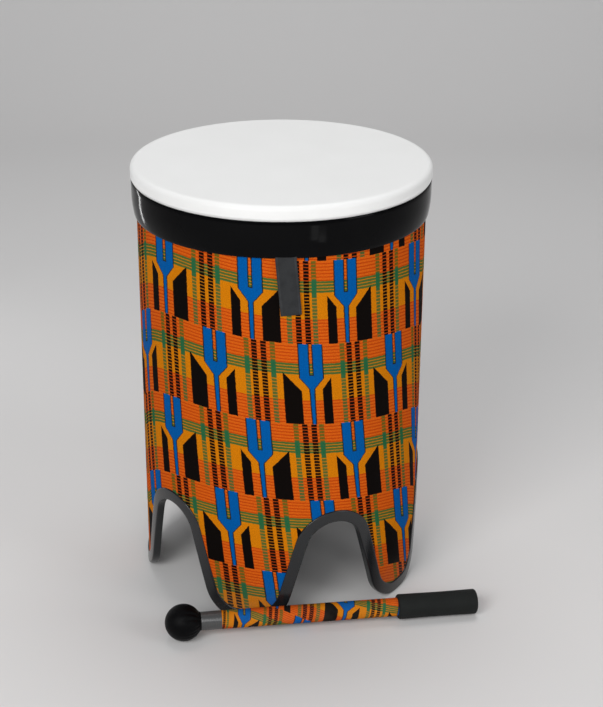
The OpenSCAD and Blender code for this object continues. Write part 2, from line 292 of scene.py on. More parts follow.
def kente_print():
    """The print: rows of forks between black wedges, on striped grounds with green bands, and
    dashed columns between them. Vector is a place on the cloth in print millimetres, down the
    cloth in Y. Every second row is the mirror image of the first."""
    g, i, o = new_group("kente_print", [("Vector", "Vector", None)], [("Color", "Color"), ("Ink", "Float")])
    wobble = put(g, "ShaderNodeTexNoise", ("Vector", i.outputs["Vector"]), ("Scale", 0.35), ("Detail", 2.0))
    nudged = put(g, "ShaderNodeVectorMath", (0, wobble.outputs["Color"]), (1, (0.5, 0.5, 0.5)),
                 operation="SUBTRACT")
    nudge = put(g, "ShaderNodeVectorMath", (0, nudged.outputs[0]), ("Scale", 1.1), operation="SCALE")
    point = put(g, "ShaderNodeVectorMath", (0, i.outputs["Vector"]), (1, nudge.outputs[0]))
    xyz = put(g, "ShaderNodeSeparateXYZ", (0, point.outputs[0]))
    u, v = Term(g, xyz.outputs["X"]), Term(g, xyz.outputs["Y"])
    y = v.wrap(ROW, 0.0)
    mirrored = v.wrap(2 * ROW, 0.0).do("GREATER_THAN", ROW)
    side = mirrored * -2.0 + 1.0
    x = ((u + mirrored * SHIFT) * side).wrap(34.0, 34.0 - COLUMN)
    soft = 0.5
    green_top, green_low, ground_low = 20.5, 32.8, 60.0
    green_columns = (-61.3, -56.3), (-35.5, -30.5)
    black_columns = (-52.6, -47.0), (-43.4, -37.8)
    crossing_low = 37.0

    stripes = (y.wrap(STRIPE, 0.0) - 2.35).inside(0.8)
    low_ground = (y - ground_low).inside(soft)
    high_ground = (y * -1.0 + green_top).inside(soft)
    colour = mixed(g, (stripes * high_ground).out, ORANGE, RED_ORANGE)
    colour = mixed(g, (y - green_top).inside(soft).out, colour, AMBER)
    colour = mixed(g, low_ground.out, colour, mixed(g, stripes.out, ORANGE, RED_ORANGE))

    in_band = y.between(green_top, green_low, soft)
    band_line = (y - green_top).wrap(3.15, 0.0).between(0.05, 2.45, soft)
    colour = mixed(g, (in_band * band_line * 0.92).out, colour, GREEN)

    # green columns: dashes, and solid where they cross the green band
    green_dash = y.wrap(3.5, 0.0).between(0.15, 2.95, soft)
    in_green = x.between(*green_columns[0], soft).most(x.between(*green_columns[1], soft))
    crossing = y.between(19.0, crossing_low, soft)
    shade = mixed(g, (y - crossing_low).inside().out, OLIVE, GREEN)
    colour = mixed(g, (in_green * green_dash * 0.88).out, colour, shade)
    colour = mixed(g, (in_green * crossing * 0.94).out, colour, TEAL)

    # two columns of black dashes
    black_dash = y.wrap(3.37, 0.0).between(0.25, 2.95, soft)
    in_black = x.between(*black_columns[0], soft).most(x.between(*black_columns[1], soft))
    ink = in_black * black_dash

    # black wedges on both sides of the fork
    left = x.between(-20.0, -10.5, soft) * (y - 35.5 - (x + 20.0) * 1.32).inside(soft)
    right = x.between(10.5, 28.5, soft) * (y - 30.5 - (x * -1.0 + 28.5) * 1.10).inside(soft)
    ink = ink.most(left).most(right)
    colour = mixed(g, ink.out, colour, INK)

    # the fork: two prongs, a shoulder that narrows to the stem, and the slot between the prongs
    from_middle = x.abs()
    shoulder = (from_middle * -1.0 + 11.5).least((from_middle - 2.1) * -1.22 + (y * -1.0 + 47.6))
    stem = (from_middle * -1.0 + 1.95) - (y - 47.5) * 0.016
    slot = (from_middle * -1.0 + 2.45).least((y * -1.0 + 33.4))
    solid = shoulder.least(slot * -1.0).most(stem.least(y - 44.0))
    colour = mixed(g, (solid + 1.2).inside(0.5).out, colour, OUTLINE)
    fork = solid.inside(soft)
    colour = mixed(g, fork.out, colour, BLUE)

    density = put(g, "ShaderNodeTexNoise", ("Vector", i.outputs["Vector"]), ("Scale", 0.9), ("Detail", 4.0),
                  ("Roughness", 0.7))
    thin = put(g, "ShaderNodeMapRange", ("Value", density.outputs["Fac"]), ("From Min", 0.3),
               ("From Max", 0.7), ("To Min", 0.72), ("To Max", 1.20))
    grey = put(g, "ShaderNodeCombineColor", ("Red", thin.outputs[0]), ("Green", thin.outputs[0]),
               ("Blue", thin.outputs[0]))
    g.links.new(mixed(g, 1.0, colour, grey.outputs[0], "MULTIPLY"), o.inputs["Color"])
    g.links.new(ink.most(fork).out, o.inputs["Ink"])
    return g


def woven():
    """Plain weave of yarns crossing over and under each other: relief, and a painted shade that darkens
    the hollows between them. Vector is in millimetres, Warp and Weft are the yarns' pitches in millimetres."""
    g, i, o = new_group(
        "woven", [("Vector", "Vector", None), ("Warp", "Float", 0.5), ("Weft", "Float", 0.5)],
        [("Relief", "Float"), ("Shade", "Float")])
    xyz = put(g, "ShaderNodeSeparateXYZ", (0, i.outputs["Vector"]))
    a = Term(g, xyz.outputs["X"]).over(Term(g, i.outputs["Warp"]))
    b = Term(g, xyz.outputs["Y"]).over(Term(g, i.outputs["Weft"]))
    over = (a.do("FLOOR") + b.do("FLOOR")).wrap(2.0, 0.0)
    round_a = (a.wrap(1.0, 0.0) - 0.5).do("POWER", 2.0) * -4.0 + 1.0
    round_b = (b.wrap(1.0, 0.0) - 0.5).do("POWER", 2.0) * -4.0 + 1.0
    relief = round_a * over + round_b * over.minus_from(1.0)
    g.links.new(relief.out, o.inputs["Relief"])
    # painted shade: darker at the yarns' edges and in the hollows between them
    g.links.new((relief.minus_from(1.0) * 0.35).out, o.inputs["Shade"])
    return g


print_group = kente_print()
woven_group = woven()


def printed_cotton(name, fade):
    """Printed cotton. The UV map is in print millimetres, and fade is how dusty the colours are."""
    m, t, s = principled(name)
    uv = mesh_uv(t)
    cloth = placed(t, print_group, ("Vector", uv))
    yarn = placed(t, woven_group, ("Vector", uv), ("Warp", 0.85), ("Weft", 0.85))
    # painted shade from the weave darkens the print in the hollows between yarns
    shade = put(t, "ShaderNodeMapRange", ("Value", yarn.outputs["Shade"]), ("To Min", 0.0), ("To Max", 0.55))
    colour = mixed(t, shade.outputs[0], cloth.outputs["Color"], (0.30, 0.22, 0.20, 1), "MULTIPLY")
    dust = placed(t, dust_group, ("Vector", object_point(t)), ("Reach", 0.06), ("Amount", fade))
    colour = mixed(t, dust.outputs["Mask"], colour, DUST)
    t.links.new(colour, s.inputs["Base Color"])
    rough = put(t, "ShaderNodeMapRange", ("Value", cloth.outputs["Ink"]), ("To Min", 0.80), ("To Max", 0.66))
    t.links.new(rough.outputs[0], s.inputs["Roughness"])
    s.inputs["Specular IOR Level"].default_value = 0.05
    s.inputs["IOR"].default_value = 1.25
    bumped(t, s, yarn.outputs["Relief"], 0.00012, 0.5)
    return m


def wave_height(along, inset=0.0):
    """Height of the legs' wavy edge at a distance along the cloth from the front leg's middle,
    on the curve that lies inset from the edge."""
    a = abs((along + half_pitch) % (2 * half_pitch) - half_pitch)
    sin_l, cos_l = math.sin(flank_lean), math.cos(flank_lean)
    foot, arch = foot_r - inset, arch_r + inset
    if a < foot_flat:
        return inset
    if a < foot_flat + foot * cos_l:
        return foot_r - math.sqrt(max(0.0, foot ** 2 - (a - foot_flat) ** 2))
    if a > half_pitch - arch * cos_l:
        return arch_z + math.sqrt(max(0.0, arch ** 2 - (half_pitch - a) ** 2))
    return foot_r - foot * sin_l + (a - foot_flat - foot * cos_l) / math.tan(flank_lean)


def on_drum(along, r, z):
    """A point at a distance along the cloth from the front leg's middle, wrapped at radius r."""
    a = leg_turn + along / cloth_r
    return Vector((r * math.sin(a), -r * math.cos(a), z))


def printed_at(angle, z):
    """Where the print was pulled to: its place, in print millimetres, at an angle round the drum
    from the front and a height. Past the sides it runs on evenly to the seam."""
    side = math.radians(76)
    a = min(max(angle, -side), side)
    h = (z * 1000 - 238.0) / 100.0
    columns = (-0.754 + 1.549 * a - 0.096 * a ** 3 + 0.019 * a * a
               + (0.073 + 0.031 * a + 0.005 * a * a) * h - 0.014 * h * h + 1.33 * (angle - a))
    rows = (1.918 - 0.183 * a + 0.016 * a * a + 0.069 * a ** 3 - 0.106 * a ** 4
            - (1.169 - 0.062 * a * a) * h)
    return columns * COLUMN, rows * ROW


def mesh_object(name, points, faces, material, uvs=None, smooth=True):
    """A new mesh object at the origin. uvs has one place for each point."""
    mesh = bpy.data.meshes.new(name)
    mesh.from_pydata([tuple(p) for p in points], [], faces)
    mesh.materials.append(material)
    if uvs is not None:
        layer = mesh.uv_layers.new(name="UVMap")
        for loop in mesh.loops:
            layer.data[loop.index].uv = uvs[loop.vertex_index]
    mesh.polygons.foreach_set("use_smooth", [smooth] * len(mesh.polygons))
    mesh.update()
    o = bpy.data.objects.new(name, mesh)
    bpy.context.scene.collection.objects.link(o)
    return o


def cloth_wrap():
    """Outer and inner face of the cloth on a grid, closed at its rims. The last column lies over
    the first at the back, where the lap stands one thickness proud."""
    across, up = 300, 112
    lap_rise, bump = 0.55 * MM, 0.03 * MM
    turn = 2 * math.pi * cloth_r
    back = math.pi * cloth_r - leg_turn * cloth_r
    rng = random.Random(4)
    points, uvs, grid = [], [], {}
    for layer in (0, 1):
        for i in range(across + 1):
            along = back - turn + (turn + cloth_lap) * i / across
            past = max(0.0, min(1.0, (along - back + 3 * MM) / (3 * MM)))
            proud = lap_rise * past * past * (3 - 2 * past)
            low = wave_height(along, cloth_hidden)
            for j in range(up + 1):
                z = low + (cloth_top - low) * j / up
                r = cloth_r + proud - layer * cloth_t
                if layer == 0 and 0 < j < up:
                    r += bump * (rng.random() - 0.5)
                grid[layer, i, j] = len(points)
                points.append(on_drum(along, r, z))
                uvs.append(printed_at(leg_turn + along / cloth_r, z))
    faces = []
    for i in range(across):
        for j in range(up):
            a, b = grid[0, i, j], grid[0, i + 1, j]
            c, d = grid[0, i + 1, j + 1], grid[0, i, j + 1]
            faces.append((a, b, c, d))
            faces.append(tuple(grid[1, *k] for k in ((i, j), (i, j + 1), (i + 1, j + 1), (i + 1, j))))
    for i in range(across):
        for j, flip in ((0, False), (up, True)):
            rim = [grid[0, i, j], grid[1, i, j], grid[1, i + 1, j], grid[0, i + 1, j]]
            faces.append(tuple(rim[::-1] if flip else rim))
    for j in range(up):
        for i, flip in ((0, True), (across, False)):
            rim = [grid[0, i, j], grid[1, i, j], grid[1, i, j + 1], grid[0, i, j + 1]]
            faces.append(tuple(rim[::-1] if flip else rim))
    return mesh_object("cloth_wrap", points, faces, printed_cotton("wrap_cotton", 0.35), uvs)


wrap = cloth_wrap()
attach(wrap, "drum")
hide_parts("fabric_wrap")


# ---- Leg edge trim -------------------------------------------------------------------------------
# One length of black rubber channel pushed on to the wavy edge, which it covers on both sides. It
# bends round each foot and arch, and its underside is pressed flat where the drum stands.
TRIM_FACE = 12.3 * MM
TRIM_SHORT = 1.6 * MM
trim_outer = 149.1 * MM
trim_inner = 140.5 * MM
FOOT_PRESS = 0.3 * MM


def extruded_rubber():
    m, t, s = principled("extruded_rubber")
    p = object_point(t)
    uv = mesh_uv(t)
    drawn = put(t, "ShaderNodeMapping", ("Vector", uv), ("Scale", (14.0, 1100.0, 1.0)))
    streak = put(t, "ShaderNodeTexNoise", ("Vector", drawn.outputs[0]), ("Scale", 1.0), ("Detail", 3.0))
    grain = placed(t, grain_group, ("Vector", p), ("Scale", 1600.0), ("Blotch", 30.0))
    colour = mixed(t, grain.outputs["Mottle"], (0.0055, 0.0062, 0.0070, 1), (0.0130, 0.0142, 0.0160, 1))
    dust = placed(t, dust_group, ("Vector", p), ("Reach", 0.030), ("Amount", 0.18))
    colour = mixed(t, dust.outputs["Mask"], colour, DUST)
    t.links.new(colour, s.inputs["Base Color"])
    rough = put(t, "ShaderNodeMapRange", ("Value", streak.outputs["Fac"]), ("To Min", 0.12), ("To Max", 0.26))
    t.links.new(rough.outputs[0], s.inputs["Roughness"])
    both = (Term(t, streak.outputs["Fac"]) + Term(t, grain.outputs["Relief"]) * 0.5)
    bumped(t, s, both.out, 0.0001, 0.35)
    return m


def rounded(corners, radii, steps):
    """A closed outline of [x, y] corners with each corner rounded by an arc-like curve."""
    out = []
    for k, c in enumerate(corners):
        c = Vector(c)
        a, b = Vector(corners[k - 1]) - c, Vector(corners[(k + 1) % len(corners)]) - c
        reach = min(radii[k], a.length * 0.8, b.length * 0.8)
        start, end = c + a.normalized() * reach, c + b.normalized() * reach
        for n in range(steps + 1):
            w = n / steps
            out.append(start * (1 - w) ** 2 + c * 2 * w * (1 - w) + end * w ** 2)
    return out


def wave_path():
    """Points (along, height) once round the wavy edge and back to the start."""
    half = [(foot_flat * n / 3, 0.0) for n in range(3)]
    for n in range(13):
        a = -math.pi / 2 + (math.pi / 2 - flank_lean) * n / 12
        half.append((foot_flat + foot_r * math.cos(a), foot_r + foot_r * math.sin(a)))
    end, crown = half[-1], math.pi - flank_lean
    start = (half_pitch + arch_r * math.cos(crown), arch_z + arch_r * math.sin(crown))
    half += [tuple(e + (s - e) * n / 8 for s, e in zip(start, end)) for n in range(1, 8)]
    for n in range(13):
        a = crown - (math.pi / 2 - flank_lean) * n / 12
        half.append((half_pitch + arch_r * math.cos(a), arch_z + arch_r * math.sin(a)))
    path = []
    for leg in range(LEGS):
        middle = 2 * half_pitch * leg
        path += [(middle + s, z) for s, z in half]
        path += [(middle + 2 * half_pitch - s, z) for s, z in half[-2:0:-1]]
    return path + [(2 * half_pitch * LEGS, 0.0)]


def flat_sweep_tree():
    """Geometry nodes that sweep a section along a flat path drawn in X and Z, where X is the
    distance along the cloth, and then wrap the result round the drum. The section's X is the
    radius and its Y the distance in from the edge. Nothing reaches below the floor."""
    g = bpy.data.node_groups.new("wrapped_sweep", "GeometryNodeTree")
    g.interface.new_socket("Geometry", in_out="INPUT", socket_type="NodeSocketGeometry")
    for label, kind in (("Section", "Object"), ("Cloth radius", "Float"), ("Turn", "Float"),
                        ("Material", "Material")):
        g.interface.new_socket(label, in_out="INPUT", socket_type="NodeSocket" + kind)
    g.interface.new_socket("Geometry", in_out="OUTPUT", socket_type="NodeSocketGeometry")
    i, o = g.nodes.new("NodeGroupInput"), g.nodes.new("NodeGroupOutput")
    section = put(g, "GeometryNodeObjectInfo", ("Object", i.outputs["Section"]))
    length = put(g, "GeometryNodeSplineParameter").outputs["Length"]
    path = put(g, "GeometryNodeStoreNamedAttribute", ("Geometry", i.outputs["Geometry"]), ("Name", "along"),
               ("Value", length), data_type="FLOAT", domain="POINT")
    girth = put(g, "GeometryNodeStoreNamedAttribute", ("Geometry", section.outputs["Geometry"]),
                ("Name", "girth"), ("Value", length), data_type="FLOAT", domain="POINT")
    sweep = put(g, "GeometryNodeCurveToMesh", ("Curve", path.outputs[0]), ("Profile Curve", girth.outputs[0]))
    lengths = [put(g, "GeometryNodeInputNamedAttribute", ("Name", label), data_type="FLOAT").outputs[0]
               for label in ("along", "girth")]
    uv = put(g, "ShaderNodeCombineXYZ", (0, lengths[0]), (1, lengths[1]))
    marked = put(g, "GeometryNodeStoreNamedAttribute", ("Geometry", sweep.outputs[0]), ("Name", "UVMap"),
                 ("Value", uv.outputs[0]), data_type="FLOAT2", domain="CORNER")
    here = put(g, "ShaderNodeSeparateXYZ", (0, put(g, "GeometryNodeInputPosition").outputs[0]))
    angle = Term(g, here.outputs["X"]).over(Term(g, i.outputs["Cloth radius"])) + Term(g, i.outputs["Turn"])
    radius = -Term(g, here.outputs["Y"])
    place = put(g, "ShaderNodeCombineXYZ", (0, (radius * angle.do("SINE")).out),
                (1, (-(radius * angle.do("COSINE"))).out), (2, Term(g, here.outputs["Z"]).most(0.0).out))
    wrapped = put(g, "GeometryNodeSetPosition", ("Geometry", marked.outputs[0]),
                  ("Position", place.outputs[0]))
    merged = put(g, "GeometryNodeMergeByDistance", ("Geometry", wrapped.outputs[0]), ("Distance", 1e-6))
    for label in ("along", "girth"):
        merged = put(g, "GeometryNodeRemoveAttribute", ("Geometry", merged.outputs[0]), ("Name", label))
    real = put(g, "GeometryNodeRealizeInstances", ("Geometry", merged.outputs[0]))
    done = put(g, "GeometryNodeSetMaterial", ("Geometry", real.outputs[0]),
               ("Material", i.outputs["Material"]))
    g.links.new(done.outputs[0], o.inputs[0])
    return g


def poly_curve(name, points, closed):
    """A curve of straight pieces whose cross-sections keep upright along it."""
    curve = bpy.data.curves.new(name, "CURVE")
    curve.dimensions = "3D"
    curve.twist_mode = "Z_UP"
    spline = curve.splines.new("POLY")
    spline.points.add(len(points) - 1)
    for point, place in zip(spline.points, points):
        point.co = (*place, 1.0)
    spline.use_cyclic_u = closed
    return curve


def made_by(name, tree, source, **inputs):
    """Runs a geometry node tree on source and returns its result as a plain mesh object."""
    holder = bpy.data.objects.new(name + "_source", source)
    bpy.context.scene.collection.objects.link(holder)
    modifier = holder.modifiers.new("nodes", "NODES")
    modifier.node_group = tree
    sockets = {s.name.replace(" ", "_"): s.identifier
               for s in tree.interface.items_tree if s.in_out == "INPUT"}
    for key, value in inputs.items():
        modifier[sockets[key]] = value
    graph = bpy.context.evaluated_depsgraph_get()
    mesh = bpy.data.meshes.new_from_object(holder.evaluated_get(graph), depsgraph=graph)
    mesh.name = name
    holder.modifiers.clear()
    bpy.data.objects.remove(holder)
    o = bpy.data.objects.new(name, mesh)
    bpy.context.scene.collection.objects.link(o)
    mesh.polygons.foreach_set("use_smooth", [True] * len(mesh.polygons))
    mesh.update()
    return o


def edge_trim(material):
    lip = 1.4 * MM
    face, short = TRIM_FACE, TRIM_FACE - TRIM_SHORT
    wall_out, wall_in = cloth_r + 0.05 * MM, trim_inner + 1.3 * MM
    corners = [(wall_out, face), (trim_outer - 0.1 * MM, face - 0.15 * MM), (trim_outer, -FOOT_PRESS),
               (trim_inner, -FOOT_PRESS), (trim_inner + 0.1 * MM, short - 0.15 * MM), (wall_in, short)]
    edge = 1.7 * MM
    outline = rounded(corners, [0.2 * MM, lip, edge, edge, lip, 0.2 * MM], steps=5)
    curve = poly_curve("trim_section", [(r, -i, 0) for r, i in outline], True)
    section = bpy.data.objects.new("trim_section", curve)
    bpy.context.scene.collection.objects.link(section)
    path = poly_curve("wave_path", [(s, 0.0, z) for s, z in wave_path()], False)
    o = made_by("edge_trim", flat_sweep_tree(), path, Section=section, Cloth_radius=cloth_r,
                Turn=leg_turn, Material=material)
    bpy.data.objects.remove(section)
    fix_normals(o)
    return o


def fix_normals(o, merge=False):
    """Turns the faces outwards, first joining points that lie on each other if merge is set."""
    b = bmesh.new()
    b.from_mesh(o.data)
    if merge:
        bmesh.ops.remove_doubles(b, verts=b.verts, dist=1e-6)
    bmesh.ops.recalc_face_normals(b, faces=b.faces)
    b.to_mesh(o.data)
    b.free()


trim = edge_trim(extruded_rubber())
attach(trim, "drum")
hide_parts("leg_edge_trim")


# ---- Drumhead ------------------------------------------------------------------------------------
# A white synthetic head, drawn over the bearing ring so that its edge is a rounded collar, with
# its skirt tucked inside the band. Its coated face is plain, slightly textured and nearly matt.
head_low, head_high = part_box("head_film")
playing_z = head_high.z
collar_r = head_high.x


def turned_tree():
    """Geometry nodes that turn a section, drawn in X and Z, once round the Z axis."""
    g = bpy.data.node_groups.new("turned", "GeometryNodeTree")
    g.interface.new_socket("Geometry", in_out="INPUT", socket_type="NodeSocketGeometry")
    g.interface.new_socket("Sides", in_out="INPUT", socket_type="NodeSocketInt").default_value = 240
    g.interface.new_socket("Material", in_out="INPUT", socket_type="NodeSocketMaterial")
    g.interface.new_socket("Geometry", in_out="OUTPUT", socket_type="NodeSocketGeometry")
    i, o = g.nodes.new("NodeGroupInput"), g.nodes.new("NodeGroupOutput")
    ring = put(g, "GeometryNodeMeshCircle", ("Vertices", i.outputs["Sides"]), ("Radius", 1.0))
    ring = put(g, "GeometryNodeMeshToCurve", ("Mesh", ring.outputs["Mesh"]))
    # each point of the swept unit circle carries its section's point, which sets radius and height
    line = put(g, "GeometryNodeInputPosition")
    store = put(g, "GeometryNodeStoreNamedAttribute", ("Geometry", i.outputs["Geometry"]),
                ("Name", "section"), ("Value", line.outputs[0]), data_type="FLOAT_VECTOR", domain="POINT")
    small = put(g, "GeometryNodeTransform", ("Geometry", store.outputs[0]), ("Scale", (0.001,) * 3))
    sweep = put(g, "GeometryNodeCurveToMesh", ("Curve", ring.outputs[0]), ("Profile Curve", small.outputs[0]))
    named = put(g, "GeometryNodeInputNamedAttribute", ("Name", "section"), data_type="FLOAT_VECTOR")
    section = put(g, "ShaderNodeSeparateXYZ", (0, named.outputs[0]))
    here = put(g, "ShaderNodeSeparateXYZ", (0, put(g, "GeometryNodeInputPosition").outputs[0]))
    angle = put(g, "ShaderNodeMath", (0, here.outputs["Y"]), (1, here.outputs["X"]), operation="ARCTAN2")
    cos = put(g, "ShaderNodeMath", (0, angle.outputs[0]), operation="COSINE")
    sin = put(g, "ShaderNodeMath", (0, angle.outputs[0]), operation="SINE")
    x = put(g, "ShaderNodeMath", (0, section.outputs["X"]), (1, cos.outputs[0]), operation="MULTIPLY")
    y = put(g, "ShaderNodeMath", (0, section.outputs["X"]), (1, sin.outputs[0]), operation="MULTIPLY")
    place = put(g, "ShaderNodeCombineXYZ", ("X", x.outputs[0]), ("Y", y.outputs[0]),
                ("Z", section.outputs["Z"]))
    moved = put(g, "GeometryNodeSetPosition", ("Geometry", sweep.outputs[0]), ("Position", place.outputs[0]))
    drop = put(g, "GeometryNodeRemoveAttribute", ("Geometry", moved.outputs[0]), ("Name", "section"))
    merged = put(g, "GeometryNodeMergeByDistance", ("Geometry", drop.outputs[0]), ("Distance", 1e-6))
    real = put(g, "GeometryNodeRealizeInstances", ("Geometry", merged.outputs[0]))
    done = put(g, "GeometryNodeSetMaterial", ("Geometry", real.outputs[0]),
               ("Material", i.outputs["Material"]))
    g.links.new(done.outputs[0], o.inputs[0])
    return g


turned_group = turned_tree()


def turned(name, section, material, sides=240, closed=True):
    """Turns a section of (radius, height) points round the drum's axis."""
    curve = poly_curve(name + "_section", [(r, 0.0, z) for r, z in section], closed)
    o = made_by(name, turned_group, curve, Sides=sides, Material=material)
    fix_normals(o)
    return o


def coated_head():
    m, t, s = principled("coated_head")
    p = object_point(t)
    grain = placed(t, grain_group, ("Vector", p), ("Scale", 1900.0), ("Blotch", 14.0))
    colour = mixed(t, grain.outputs["Mottle"], (0.84, 0.838, 0.820, 1), (0.89, 0.89, 0.876, 1))
    t.links.new(colour, s.inputs["Base Color"])
    rough = put(t, "ShaderNodeMapRange", ("Value", grain.outputs["Mottle"]), ("To Min", 0.42),
                ("To Max", 0.58))
    t.links.new(rough.outputs[0], s.inputs["Roughness"])
    s.inputs["Subsurface Weight"].default_value = 0.08
    s.inputs["Subsurface Radius"].default_value = (0.002, 0.002, 0.002)
    bumped(t, s, grain.outputs["Relief"], 0.00006, 0.6)
    return m


def head_section():
    """Outer line from the middle out over the shoulder and down the skirt, and back inside."""
    film = 0.35 * MM
    shoulder = 5.6 * MM
    band_top = playing_z - 15 * MM
    skirt_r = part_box("rim_band")[1].x - 1.2 * MM
    outer = [(r * collar_r / 1000, playing_z) for r in (0.5, 100, 250, 450, 650, 820, 920)]
    outer.append((collar_r - shoulder - 2.5 * MM, playing_z))
    for n in range(13):
        a = math.pi / 2 * (1 - n / 12)
        outer.append((collar_r - shoulder + shoulder * math.cos(a),
                      playing_z - shoulder + shoulder * math.sin(a)))
    collar_low, tuck = band_top + 3.1 * MM, 0.5 * MM
    straight = collar_low - playing_z + shoulder
    outer += [(collar_r, playing_z - shoulder + straight * n / 3) for n in (1, 2, 3)]
    for n in range(1, 7):
        w = n / 6
        ease = w * w * (3 - 2 * w)
        outer.append((collar_r - (collar_r - skirt_r) * ease,
                      collar_low + (band_top - tuck - collar_low) * w))
    outer.append((skirt_r, head_low.z))
    inner = [(max(0.0005 * collar_r, r - film * (1.0 if z < playing_z - 1e-5 else 0.0)),
              z - (film if z > playing_z - shoulder * 0.6 else 0.0)) for r, z in outer]
    return outer, inner


def drum_head():
    outer, inner = head_section()
    outer[0] = (0.0, playing_z)
    inner[0] = (0.0, inner[0][1])
    return turned("drum_head", outer + inner[::-1], coated_head(), sides=200)


head = drum_head()
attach(head, "drum")
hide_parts("head_film")


# ---- Head hoop, rivet and washer -----------------------------------------------------------------
# Small zinc-plated steel parts: the hoop bonded into the head's skirt, and the rivet and washer
# that hold the carrying loop's ends. Only the rivet's inner end and washer show, inside the shell.
def plated_steel():
    m, t, s = principled("plated_steel")
    p = object_point(t)
    grain = placed(t, grain_group, ("Vector", p), ("Scale", 2500.0), ("Blotch", 260.0))
    colour = mixed(t, grain.outputs["Mottle"], (0.42, 0.42, 0.41, 1), (0.62, 0.62, 0.60, 1))
    t.links.new(colour, s.inputs["Base Color"])
    s.inputs["Metallic"].default_value = 1.0
    rough = put(t, "ShaderNodeMapRange", ("Value", grain.outputs["Mottle"]), ("To Min", 0.28),
                ("To Max", 0.5))
    t.links.new(rough.outputs[0], s.inputs["Roughness"])
    bumped(t, s, grain.outputs["Relief"], 0.00005, 0.4)
    return m


steel = plated_steel()
for small_part in ("head_hoop", "strap_rivet", "strap_washer"):
    paint(small_part, steel)


# ---- Rim band ------------------------------------------------------------------------------------
# A glossy black band round the head's skirt. It draws in at the bottom, where its lip turns under
# to the cloth, and the lip has a slot through which the webbing comes out.
band_low, band_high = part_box("rim_band")
band_r = band_high.x
band_bottom, band_top = band_low.z, band_high.z


def glossy_black():
    m, t, s = principled("glossy_black")
    p = object_point(t)
    grain = placed(t, grain_group, ("Vector", p), ("Scale", 300.0), ("Blotch", 22.0))
    colour = mixed(t, grain.outputs["Mottle"], (0.0016, 0.0016, 0.0018, 1), (0.0032, 0.0032, 0.0036, 1))
    t.links.new(colour, s.inputs["Base Color"])
    fine = put(t, "ShaderNodeTexNoise", ("Vector", p), ("Scale", 260.0), ("Detail", 6.0), ("Roughness", 0.75))
    rough = put(t, "ShaderNodeMapRange", ("Value", fine.outputs["Fac"]), ("From Min", 0.35),
                ("From Max", 0.75), ("To Min", 0.07), ("To Max", 0.15))
    t.links.new(rough.outputs[0], s.inputs["Roughness"])
    s.inputs["IOR"].default_value = 1.14
    bumped(t, s, grain.outputs["Mottle"], 0.0010, 0.08)
    return m


def band_section():
    wall = 1.0 * MM
    draw, curve_h, lip = 2.5 * MM, 22.6 * MM, 1.2 * MM
    lip_r = cloth_r + 0.2 * MM
    edge = 0.45 * MM
    outer = [(band_r - edge, band_top), (band_r - edge * 0.3, band_top - edge * 0.3),
             (band_r, band_top - edge)]
    outer += [(band_r, band_top - (band_top - band_bottom - curve_h) * w / 3) for w in (1, 2)]
    for n in range(11):
        w = n / 11
        outer.append((band_r - draw * w * w, band_bottom + curve_h * (1 - w)))
    foot_r = band_r - draw
    outer += [(foot_r + 0.02 * MM, band_bottom + 1.1 * MM), (foot_r - 0.12 * MM, band_bottom + 0.45 * MM),
              (foot_r - 0.45 * MM, band_bottom + 0.1 * MM), (foot_r - 0.8 * MM, band_bottom)]
    inner = [(r - wall, z) for r, z in outer[2:16]]
    return outer + [(lip_r, band_bottom), (lip_r, band_bottom + lip), (foot_r - wall, band_bottom + lip)] \
        + inner[::-1] + [(band_r - wall, band_top)]


def cut_slot(o, middle, size):
    """Cuts a box-shaped slot out of a piece with an exact boolean."""
    half = Vector(size) / 2
    corners = [middle + Vector((x * half.x, y * half.y, z * half.z))
               for x in (-1, 1) for y in (-1, 1) for z in (-1, 1)]
    sides = [(0, 1, 3, 2), (4, 6, 7, 5), (0, 4, 5, 1), (2, 3, 7, 6), (0, 2, 6, 4), (1, 5, 7, 3)]
    cutter = mesh_object(o.name + "_cutter", corners, sides, o.data.materials[0], smooth=False)
    cut = o.modifiers.new("slot", "BOOLEAN")
    cut.operation, cut.object, cut.solver = "DIFFERENCE", cutter, "EXACT"
    graph = bpy.context.evaluated_depsgraph_get()
    mesh = bpy.data.meshes.new_from_object(o.evaluated_get(graph), depsgraph=graph)
    o.modifiers.clear()
    o.data = mesh
    bpy.data.objects.remove(cutter)


band = turned("band", band_section(), glossy_black(), sides=300)
ends_low, ends_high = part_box("strap_ends")
slot_size = (21.6 * MM, 2.6 * MM, 4 * MM)
slot_middle = Vector(((ends_low.x + ends_high.x) / 2, -cloth_r - 0.8 * MM, band_bottom))
cut_slot(band, slot_middle, slot_size)
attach(band, "drum")
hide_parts("rim_band")


# ---- Carrying loop -------------------------------------------------------------------------------
# Charcoal webbing, folded once and riveted to the shell under the band. It hangs flat on the
# cloth and leans a little; its fold at the bottom is rounded, and its selvedges are closer woven.
loop_joint = next(j for j in frame["joints"] if j["name"] == "loop_swing")
hinge = Vector(loop_joint["pos_m"])
strap_turn = math.atan2(hinge.x, -hinge.y)
strap_w = 20.4 * MM
strap_len = 57.0 * MM
strap_lean = math.radians(5.2)
strap_t = 1.0 * MM              # one layer
out_dir = Vector((math.sin(strap_turn), -math.cos(strap_turn), 0.0))
side_dir = Vector((math.cos(strap_turn), math.sin(strap_turn), 0.0))
down_dir = (Vector((0, 0, -1)) * math.cos(strap_lean) + side_dir * math.sin(strap_lean)).normalized()
across_dir = (side_dir * math.cos(strap_lean) + Vector((0, 0, 1)) * math.sin(strap_lean)).normalized()


